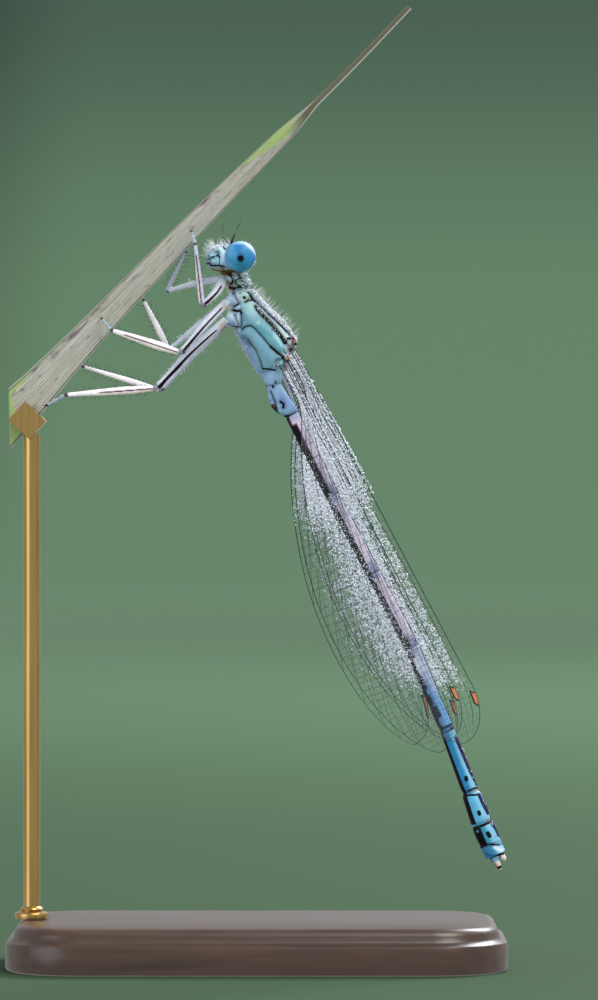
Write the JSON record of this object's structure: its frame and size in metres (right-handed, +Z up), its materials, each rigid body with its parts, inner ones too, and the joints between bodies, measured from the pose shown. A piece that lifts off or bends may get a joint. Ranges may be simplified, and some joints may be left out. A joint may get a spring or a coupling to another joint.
{
  "type": "damselfly",
  "caption": "Still museum model of a damselfly roosting head up on a cut blade of dry grass, wings closed beside its abdomen, held over a small plinth by a brass rod.",
  "frame": {"origin": "the middle of the model's box, on the underside of the plinth", "axes": "+Z up, -X the way the damselfly faces, -Y its left side"},
  "size_m": [0.0261, 0.015, 0.0503],
  "materials": {
    "eye": "smooth glossy compound eye, blue with a pale rim",
    "head": "pale blue cuticle with black lines and fine white hair",
    "feeler": "black bristle-like cuticle",
    "thorax": "waxy blue-green cuticle with black seams and pale hair",
    "abdomen_base": "waxy periwinkle-blue cuticle",
    "abdomen_pale": "waxy pinkish-white cuticle with a black stripe below",
    "abdomen_blue": "waxy sky-blue cuticle with black bands and dots",
    "leg": "whitish cuticle with a dark line and black bristles",
    "wing": "clear veined membrane silvered with fine dew, orange wing marks",
    "grass": "dry ribbed grass leaf, straw grey with green and purple-brown edges",
    "plinth": "dark stained hardwood, satin",
    "brass": "satin drawn brass"
  },
  "bodies": {
    "root": {"head": "head", "eye_left": "eye", "antenna_left": "feeler", "eye_right": "eye", "antenna_right": "feeler", "prothorax": "thorax", "pterothorax": "thorax", "abdomen_1": "abdomen_base", "abdomen_2": "abdomen_base", "abdomen_3": "abdomen_pale", "abdomen_4": "abdomen_pale", "abdomen_5": "abdomen_pale", "abdomen_6": "abdomen_pale", "abdomen_7": "abdomen_blue", "abdomen_8": "abdomen_blue", "abdomen_9": "abdomen_blue", "abdomen_10": "abdomen_blue", "forewing_left": "wing", "forewing_right": "wing", "hindwing_left": "wing", "hindwing_right": "wing", "leg_front_left_femur": "leg", "leg_front_left_tibia": "leg", "leg_front_left_tarsus": "leg", "leg_front_right_femur": "leg", "leg_front_right_tibia": "leg", "leg_front_right_tarsus": "leg", "leg_middle_left_femur": "leg", "leg_middle_left_tibia": "leg", "leg_middle_left_tarsus": "leg", "leg_middle_right_femur": "leg", "leg_middle_right_tibia": "leg", "leg_middle_right_tarsus": "leg", "leg_hind_left_femur": "leg", "leg_hind_left_tibia": "leg", "leg_hind_left_tarsus": "leg", "leg_hind_right_femur": "leg", "leg_hind_right_tibia": "leg", "leg_hind_right_tarsus": "leg", "perch_blade": "grass", "stand_base": "plinth", "stand_rod": "brass", "stand_clip": "brass"}
  },
  "joints": []
}
